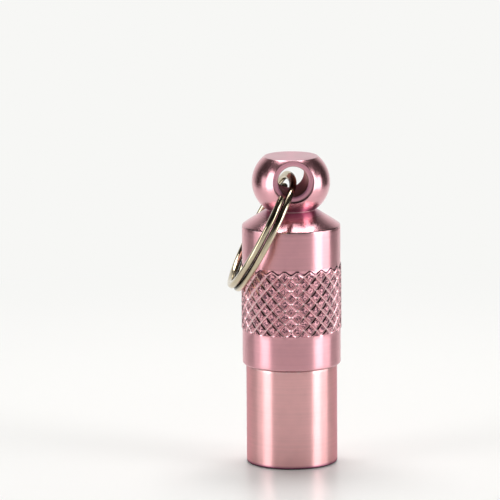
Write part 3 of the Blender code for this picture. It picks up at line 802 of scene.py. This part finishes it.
def capsule_cap():
    """The upper half: outside with its knurl, and inside with its bore, thread and eyelet."""
    sizes = bpy.context.scene.cap_sizes
    barrel = bpy.context.scene.barrel_sizes
    angles = knurl_angles(sizes)
    bm = bmesh.new()
    marks = {name: bm.verts.layers.float.new(name) for name in MARKS}
    upper, lower = cap_upper_profile(sizes), cap_lower_profile(sizes)
    turn_profile(bm, upper, angles)
    turn_profile(bm, lower, angles)
    flat_edge = (upper[7][0], sizes.top - 0.00003)
    side = sizes.diameter / 2
    rim = (side - 0.00008, sizes.rim + 0.00008)
    worn_width, foot_width, corner_shade_width = 0.00022, 0.0001, 0.0011
    wear_and_painted_light = edge_falloff([flat_edge, (side - 0.00003, sizes.shoulder), rim], worn_width)
    for vertex in bm.verts:
        vertex[marks["wear_and_painted_light"]] = wear_and_painted_light(vertex.co)
        # A painted highlight: a pale line in the corner under the ball. Painted shade darkens the flat on
        # the ball, and the ball and the slope round that corner
        corner = math.hypot(math.hypot(*vertex.co.xy) - sizes.ball_neck / 2, vertex.co.z - sizes.ball_foot)
        if corner < foot_width:
            vertex[marks["wear_and_painted_light"]] = 2
        # Painted shade: half on the flat, and up to 0.8 near the corner under the ball
        flat_painted_shade = 0.5 if vertex.co.z > sizes.top - 0.00002 else 0
        vertex[marks["painted_light_and_grooves"]] = max(flat_painted_shade, 0.8 * smooth(1.5 - corner / corner_shade_width))
    add_knurl(bm, sizes, marks)
    cap = mesh_object("capsule_cap", bm)

    start = barrel.shoulder + barrel.seal_cord + 2 * SEAL_GAP - barrel.pitch
    turns = (barrel.shoulder + THREAD_RISE + 5 * barrel.pitch - start) / barrel.pitch
    cut(cap, thread_shape("thread_groove", start, turns, THREAD_GAP, 0.0001), "DIFFERENCE")
    cut(cap, eyelet_cutter(sizes), "DIFFERENCE")
    # Painted shade darkens the lower half of the eyelet's bore, nearly to black at its bottom
    painted_light_and_grooves = cap.data.attributes["painted_light_and_grooves"].data
    for vertex in cap.data.vertices:
        if math.hypot(vertex.co.x, vertex.co.z - sizes.eyelet_height) < sizes.eyelet / 2 + 0.00005:
            painted_light_and_grooves[vertex.index].value = 1.7 * smooth((sizes.eyelet_height + 0.0004 - vertex.co.z) / 0.0018)

    dye = bpy.context.scene.capsule_colours.cap_dye
    hole, mouth = sizes.eyelet / 2, sizes.eyelet_mouth / 2
    satin = anodised_aluminium("satin_turned_anodised_cap", dye, 0.32, 0.85, 0.00034, 0.0000022, skin=0.45)
    knurled = knurled_aluminium("knurled_anodised_cap", dye)
    polished = anodised_aluminium(
        "polished_anodised_ball", dye, 0.24, 0.6, 0.0002, 0.0000024, grain_share=1.6, painted_edge_lines=(mouth,)
    )
    # Painted shade: the eyelet's bore and the cap's inside take a darker, browner dye
    bore_shade_dye, dull_edge = shade(dye, 0.6, 0.5, 0.42), (0.8, 0.5, 0.5)
    bored = anodised_aluminium(
        "bored_anodised_cap", bore_shade_dye, 0.38, 0.3, 0.0003, 0.000008, skin=0, edge=dull_edge
    )
    faced = anodised_aluminium("faced_anodised_mouth", dye, 0.12, 0, 0.0002, 0.0000005, painted_edge_lines=(mouth, hole))
    finish_piece(cap, [satin, knurled, polished, bored, faced], "cap", "cap")
    for face in cap.data.polygons:
        radius, height = math.hypot(face.center.x, face.center.y), face.center.z
        around = math.hypot(face.center.x, height - sizes.eyelet_height)
        if around < hole + 0.00001:
            face.material_index = 3
        elif around < mouth - 0.00001:
            face.material_index = 4
        elif height > sizes.shoulder - 0.00005:
            face.material_index = 2
        elif radius < side - 0.0005 and height > sizes.rim + 0.00005:
            face.material_index = 3
        elif sizes.knurl_bottom < height < sizes.knurl_top:
            face.material_index = 1
    true_ball_normals(cap, sizes)
    return cap


def ring_lean(sizes):
    """The angle at which the ring leans, so that its lowest turn just clears the knurl."""
    coil = (sizes.diameter - sizes.wire_width) / 2
    low = 2 * coil - (sizes.wire_width / 2 - sizes.rounding)
    side = SOLID_COIL_GAP / 2 + sizes.wire_height - sizes.rounding
    reach = SOLID_KNURL_RADIUS + sizes.clearance + sizes.rounding
    return math.asin(reach / math.hypot(low, side)) + math.atan2(side, low)


def wire_section(sizes):
    """The wire's section: a rectangle with rounded corners, 0.01 mm inside the nominal from side to side."""
    rounding = sizes.rounding
    across, up = sizes.wire_height / 2 - rounding, sizes.wire_width / 2 - rounding - 0.00001
    centres = ((across, up), (-across, up), (-across, -up), (across, -up))
    section = []
    for number, centre in enumerate(centres):
        section += arc(centre, rounding, 90 * number, 90 * number + 90, 6)
    return section


def split_ring():
    """Hard wire that goes once round, steps aside in the eyelet and goes round again."""
    sizes = bpy.context.scene.ring_sizes
    colours = bpy.context.scene.capsule_colours
    coil = (sizes.diameter - sizes.wire_width) / 2
    last = 2 * math.pi - RING_JOG - RING_OVERLAP
    steps = round(WIRE_STEPS * last / math.pi)
    frames = []
    # How large the last slices are, where the cut's edge is broken, and how far apart they lie
    ends, slice_gap = {0: 0.72, 1: 0.9, 2: 0.97}, 0.00003
    coil_shade_width, drawn_out = 0.00015, 40
    for step in range(steps + 1):
        angle = 2 * last * step / steps - last
        from_end = min(step, steps - step)
        if from_end in ends:
            angle = math.copysign(last - from_end * slice_gap / coil, angle)
        aside = (sizes.wire_height + sizes.gap) * (smooth((angle + RING_JOG) / (2 * RING_JOG)) - 0.5)
        place = Matrix.Rotation(angle, 4, "X") @ Matrix.Translation((aside, 0, coil))
        frames.append(place @ Matrix.Rotation(math.pi / 2, 4, "X") @ Matrix.Scale(ends.get(from_end, 1), 4))
    bm = bmesh.new()
    wear_and_painted_light = bm.verts.layers.float.new("wear_and_painted_light")
    across = bm.verts.layers.float_vector.new("across_wire")
    rings = sweep_section(bm, wire_section(sizes), frames)
    for number, loop in enumerate(rings):
        from_end = min(number, len(rings) - 1 - number)
        angle = 2 * last * number / steps - last
        for vertex in loop:
            # Painted shade: the wire is darkened where the coils face each other, and round the cut ends
            facing = smooth(2 - abs(vertex.co.x) / coil_shade_width)
            vertex[wear_and_painted_light] = max(facing, 0.5 if from_end < 2 else 0)
            radius = math.hypot(vertex.co.y, vertex.co.z)
            vertex[across] = (vertex.co.x, radius, angle * coil / drawn_out)
    ring = mesh_object("split_ring_wire", bm)
    leaning = Euler((0, ring_lean(sizes), RING_TWIST)).to_matrix().to_4x4()
    eyelet = Matrix.Translation((0, 0, bpy.context.scene.cap_sizes.eyelet_height))
    ring.data.transform(eyelet @ leaning @ Matrix.Translation((0, 0, -coil)))
    steel = nickel_plated_steel("bright_nickel_plated_steel_wire", colours.nickel)
    finish_piece(ring, [steel], "ring", "split_ring", 40)
    return ring


def sealing_ring():
    """The rubber ring on the root of the neck, with the thin flash that its mould leaves."""
    sizes = bpy.context.scene.barrel_sizes
    colours = bpy.context.scene.capsule_colours
    # The cord is slightly thin, so that its flash stays inside the nominal section
    cord = sizes.seal_cord / 2 * 0.985
    centre = [start + sizes.seal_cord / 2 + SEAL_GAP for start in (sizes.neck / 2, sizes.shoulder)]
    steps, flash_height = 28, 0.000006
    profile = []
    for step in range(steps):
        angle = 2 * math.pi * step / steps
        flash = flash_height if step in (0, steps // 2) else 0
        profile.append((centre[0] + (cord + flash) * math.cos(angle), centre[1] + cord * math.sin(angle)))
    bm = bmesh.new()
    turn_profile(bm, profile + profile[:1], even_angles(TURNED_STEPS))
    ring = mesh_object("sealing_ring", bm)
    finish_piece(ring, [moulded_rubber("moulded_black_rubber", colours.rubber)], "seal", "seal_ring", 60)
    return ring


def address_slip():
    """The paper slip: a strip rolled about twice round, standing in the barrel's bore."""
    sizes = bpy.context.scene.barrel_sizes
    colours = bpy.context.scene.capsule_colours
    outer = sizes.bore / 2 - SLIP_GAP - sizes.slip_thickness / 2
    low = sizes.floor + drill_point(sizes.bore / 2) + SLIP_GAP
    half, height = sizes.slip_thickness / 2 * 0.98, sizes.slip_height
    rows, steps = 14, round(SLIP_TURNS * PAPER_STEPS)
    # The inner edge of the strip springs a little towards the middle, from a turn on
    spring, spring_start = 0.00006, 1.8
    bm = bmesh.new()
    outside, inside = [], []
    for step in range(steps + 1):
        turn = step / PAPER_STEPS
        angle = 2 * math.pi * turn
        radius = outer - SLIP_STEP * turn - spring * smooth((turn - spring_start) / 0.3)
        for columns, reach in ((outside, radius + half), (inside, radius - half)):
            x, y = reach * math.cos(angle), reach * math.sin(angle)
            columns.append([bm.verts.new((x, y, low + height * row / rows)) for row in range(rows + 1)])
    walls = [pair for columns in (outside, inside) for pair in zip(columns, columns[1:])]
    walls += [(outside[end], inside[end]) for end in (0, steps)]
    for before, after in walls:
        for row in range(rows):
            bm.faces.new((before[row], after[row], after[row + 1], before[row + 1]))
    for row in (0, rows):
        for here in range(steps):
            there = here + 1
            bm.faces.new((outside[here][row], outside[there][row], inside[there][row], inside[here][row]))
    slip = mesh_object("address_slip", bm)
    paper = ruled_paper("ruled_synthetic_paper", colours.paper, colours.ruling, low, height)
    finish_piece(slip, [paper], "slip", "paper_slip")
    return slip


def studio_floor(colours):
    """The table top: a strip of pale acrylic with a soft gloss, which fades into the background."""
    bm = bmesh.new()
    half_width, front, square, growth = 0.13, -0.17, 0.01, 1.35
    # Even squares round the capsule, and longer and longer ones behind it
    across = [-half_width + 2 * half_width * step / 26 for step in range(27)]
    along = [front + square * step for step in range(31)]
    along += [half_width * growth**step for step in range(1, 8)]
    rows = [[bm.verts.new((x, y, 0)) for x in across] for y in along]
    for near, far in zip(rows, rows[1:]):
        for here in range(len(across) - 1):
            bm.faces.new((near[here], near[here + 1], far[here + 1], far[here]))
    floor = mesh_object("table_top", bm)
    material, node, place = new_material("pale_satin_acrylic_table_top")
    # Faint haze in patches of about 1 mm
    haze = node(NOISE, {"Vector": place, "Scale": 1 / 0.001, "Detail": 3})
    tint = {0: haze, 6: shade(colours.floor, 0.99), 7: shade(colours.floor)}
    tint = node(MIX, tint, 2, data_type="RGBA")
    surface = node("ShaderNodeBsdfPrincipled", {"Base Color": tint, "Roughness": 0.36, "IOR": 1.45})
    beyond = node("ShaderNodeEmission", {"Color": shade(colours.background), "Strength": 1})
    # The camera sees the background from 45 to 120 mm away. What the metal mirrors fades further back, so
    # that it shows the lit table too
    reach = node(VECTOR_MATH, {0: place}, "Value", operation="LENGTH")
    near, far = [
        node(MAP_RANGE, {"Value": reach, **span}, interpolation_type="SMOOTHSTEP")
        for span in ({"From Min": 0.045, "From Max": 0.12}, {"From Min": 0.2, "From Max": 0.4})
    ]
    rays = node("ShaderNodeLightPath", out=None)
    seen = node(MATH, {0: rays["Is Camera Ray"], 1: rays["Is Transmission Ray"]}, operation="MAXIMUM")
    seen = node(MATH, {0: seen, 1: near}, operation="MULTIPLY")
    mirrored = node(MATH, {0: rays["Is Glossy Ray"], 1: far}, operation="MULTIPLY")
    share = node(MATH, {0: seen, 1: mirrored}, operation="MAXIMUM")
    mixed = node("ShaderNodeMixShader", {0: share, 1: surface, 2: beyond})
    node("ShaderNodeOutputMaterial", {"Surface": mixed}, None)
    floor.data.materials.append(material)


def studio_walls(colours):
    """The unlit room round the table, which only the metal mirrors. Behind the capsule it turns white."""
    room_radius = 1.1
    bm = bmesh.new()
    turn_profile(bm, arc((0, 0), room_radius, 90, -90, 36), even_angles(72))
    walls = mesh_object("unlit_studio_walls", bm)
    material, node, place = new_material("unlit_wall")
    parts = node("ShaderNodeSeparateXYZ", {"Vector": place}, None)
    # The lamps spill a little light on the room beside them, and none on its front. Low down it is pale,
    # and higher up in front than beside. The backdrop behind the capsule is white, and fades out over the
    # walls beside it
    beside, spill = [
        node(MAP_RANGE, {"Value": parts["Y"], **span}, interpolation_type="SMOOTHSTEP")
        for span in ({"From Min": -0.9, "From Max": -0.1}, {"From Min": 0.55, "From Max": 1.05})
    ]
    level = node(MATH, {0: beside, 1: 0.62, 2: parts["Z"]}, operation="MULTIPLY_ADD")
    low = {"Value": level, "From Min": 0.05, "From Max": 0.5}
    low = node(MAP_RANGE, low, interpolation_type="SMOOTHSTEP")
    tint = {0: beside, 6: shade(colours.dark_wall, 0.2), 7: shade(colours.dark_wall)}
    tint = node(MIX, tint, 2, data_type="RGBA")
    tint = node(MIX, {0: low, 6: shade(colours.background, 0.75), 7: tint}, 2, data_type="RGBA")
    tint = node(MIX, {0: spill, 6: tint, 7: shade(colours.background)}, 2, data_type="RGBA")
    glow = node("ShaderNodeEmission", {"Color": tint, "Strength": 1})
    node("ShaderNodeOutputMaterial", {"Surface": glow}, None)
    walls.data.materials.append(material)
    walls.visible_camera = walls.visible_diffuse = walls.visible_transmission = walls.visible_shadow = False


def studio_lamps():
    """Two tall softboxes, which reach from below the table's level, and one overhead behind the capsule.

    Each tall one has a dimmer edge towards the back, where its cloth falls away from the lamp. Azimuth 0 is
    in front of the capsule, and it grows towards +X.
    """
    middle = Vector((0, 0, 0.02))
    for name, azimuth, elevation, distance, size, radiance in LAMPS:
        lamp = bpy.data.lights.new(f"softbox_{name}", "AREA")
        lamp.shape = "RECTANGLE"
        lamp.size, lamp.size_y = size
        lamp.energy = 4 * radiance * size[0] * size[1]
        holder = bpy.data.objects.new(lamp.name, lamp)
        bpy.context.scene.collection.objects.link(holder)
        away = direction(math.radians(azimuth), math.radians(elevation))
        holder.location = middle + away * distance
        holder.rotation_euler = away.to_track_quat("Z", "Y").to_euler()


def studio_world(colours):
    """A white background for the camera and the metal, and an even dim fill for everything else."""
    fill_strength = 0.17
    world = bpy.data.worlds.new("studio_background")
    bpy.context.scene.world = world
    world.use_nodes = True
    world.node_tree.nodes.clear()
    node = partial(add_node, world.node_tree)
    rays = node("ShaderNodeLightPath", out=None)
    seen = node(MATH, {0: rays["Is Camera Ray"], 1: rays["Is Glossy Ray"]}, operation="MAXIMUM")
    seen = node(MATH, {0: seen, 1: rays["Is Transmission Ray"]}, operation="MAXIMUM")
    fill, shown = [
        node("ShaderNodeBackground", {"Color": shade(colours.background), "Strength": strength})
        for strength in (fill_strength, 1)
    ]
    mixed = node("ShaderNodeMixShader", {0: seen, 1: fill, 2: shown})
    node("ShaderNodeOutputWorld", {"Surface": mixed}, None)
    bpy.context.scene.view_settings.view_transform = "Standard"


def direction(azimuth, elevation):
    """The way from the capsule towards an azimuth, from the front round towards +X, and an elevation."""
    level = math.cos(elevation)
    return Vector((math.sin(azimuth) * level, -math.cos(azimuth) * level, math.sin(elevation)))


def studio_camera():
    """The camera: a little to the left of the eyelet's axis and above it, about 0.8 m away."""
    azimuth, elevation, roll = math.radians(-4.4), math.radians(10.994), math.radians(-0.32)
    distance, focal_length = 0.8, 472.6
    # The point that the middle of the picture shows, left of the capsule
    aside, above_base = -0.005024, 0.026276
    back = direction(azimuth, elevation)
    right = Vector((math.cos(azimuth), math.sin(azimuth), 0))
    up = back.cross(right)
    turned_right = right * math.cos(roll) + up * math.sin(roll)
    turned_up = up * math.cos(roll) - right * math.sin(roll)
    place = Matrix((turned_right, turned_up, back)).transposed().to_4x4()
    place.translation = right * aside + Vector((0, 0, above_base)) + back * distance
    lens = bpy.data.cameras.new("studio_camera")
    lens.sensor_width, lens.lens, lens.clip_start = 36, focal_length, 0.01
    camera = bpy.data.objects.new("studio_camera", lens)
    bpy.context.scene.collection.objects.link(camera)
    camera.matrix_world = place
    bpy.context.scene.camera = camera


class CAPSULE_OT_barrel(bpy.types.Operator):
    """Build the barrel with its threaded neck"""

    bl_idname = "capsule.barrel"
    bl_label = "Barrel"

    def execute(self, context):
        capsule_barrel()
        return {"FINISHED"}


class CAPSULE_OT_cap(bpy.types.Operator):
    """Build the cap with its knurl, ball and eyelet"""

    bl_idname = "capsule.cap"
    bl_label = "Cap"

    def execute(self, context):
        capsule_cap()
        return {"FINISHED"}


class CAPSULE_OT_split_ring(bpy.types.Operator):
    """Build the split ring that hangs in the eyelet"""

    bl_idname = "capsule.split_ring"
    bl_label = "Split ring"

    def execute(self, context):
        split_ring()
        return {"FINISHED"}


class CAPSULE_OT_sealing_ring(bpy.types.Operator):
    """Build the rubber ring on the root of the neck"""

    bl_idname = "capsule.sealing_ring"
    bl_label = "Sealing ring"

    def execute(self, context):
        sealing_ring()
        return {"FINISHED"}


class CAPSULE_OT_address_slip(bpy.types.Operator):
    """Build the rolled paper slip inside"""

    bl_idname = "capsule.address_slip"
    bl_label = "Address slip"

    def execute(self, context):
        address_slip()
        return {"FINISHED"}


class CAPSULE_OT_studio(bpy.types.Operator):
    """Set up the table top, the lamps, the background and the camera"""

    bl_idname = "capsule.studio"
    bl_label = "Studio"

    def execute(self, context):
        colours = context.scene.capsule_colours
        studio_floor(colours)
        studio_walls(colours)
        studio_lamps()
        studio_world(colours)
        studio_camera()
        return {"FINISHED"}


class CAPSULE_PT_panel(bpy.types.Panel):
    """Lists the capsule's operators, sizes and colours"""

    bl_idname = "CAPSULE_PT_panel"
    bl_label = "Pet id capsule"
    bl_space_type = "VIEW_3D"
    bl_region_type = "UI"
    bl_category = "Capsule"

    def draw(self, context):
        for operator in OPERATORS:
            self.layout.operator(operator.bl_idname)
        for group in GROUPS:
            box = self.layout.box()
            values = getattr(context.scene, group)
            for key in values.__annotations__:
                box.prop(values, key)


OPERATORS = (
    CAPSULE_OT_barrel,
    CAPSULE_OT_cap,
    CAPSULE_OT_split_ring,
    CAPSULE_OT_sealing_ring,
    CAPSULE_OT_address_slip,
    CAPSULE_OT_studio,
)
GROUPS = {
    "barrel_sizes": BarrelSizes,
    "cap_sizes": CapSizes,
    "ring_sizes": RingSizes,
    "capsule_colours": CapsuleColours,
}


def register():
    """Registers the classes and puts the groups of sizes and colours on the scene."""
    for kind in (*GROUPS.values(), *OPERATORS, CAPSULE_PT_panel):
        bpy.utils.register_class(kind)
    for name, kind in GROUPS.items():
        setattr(bpy.types.Scene, name, bpy.props.PointerProperty(type=kind))


def unregister():
    """Takes the groups off the scene and unregisters the classes."""
    for name in GROUPS:
        delattr(bpy.types.Scene, name)
    for kind in (CAPSULE_PT_panel, *reversed(OPERATORS), *reversed(GROUPS.values())):
        bpy.utils.unregister_class(kind)


def main():
    """Builds every piece and the studio."""
    register()
    bpy.ops.capsule.barrel()
    bpy.ops.capsule.cap()
    bpy.ops.capsule.split_ring()
    bpy.ops.capsule.sealing_ring()
    bpy.ops.capsule.address_slip()
    bpy.ops.capsule.studio()


if __name__ == "__main__":
    main()
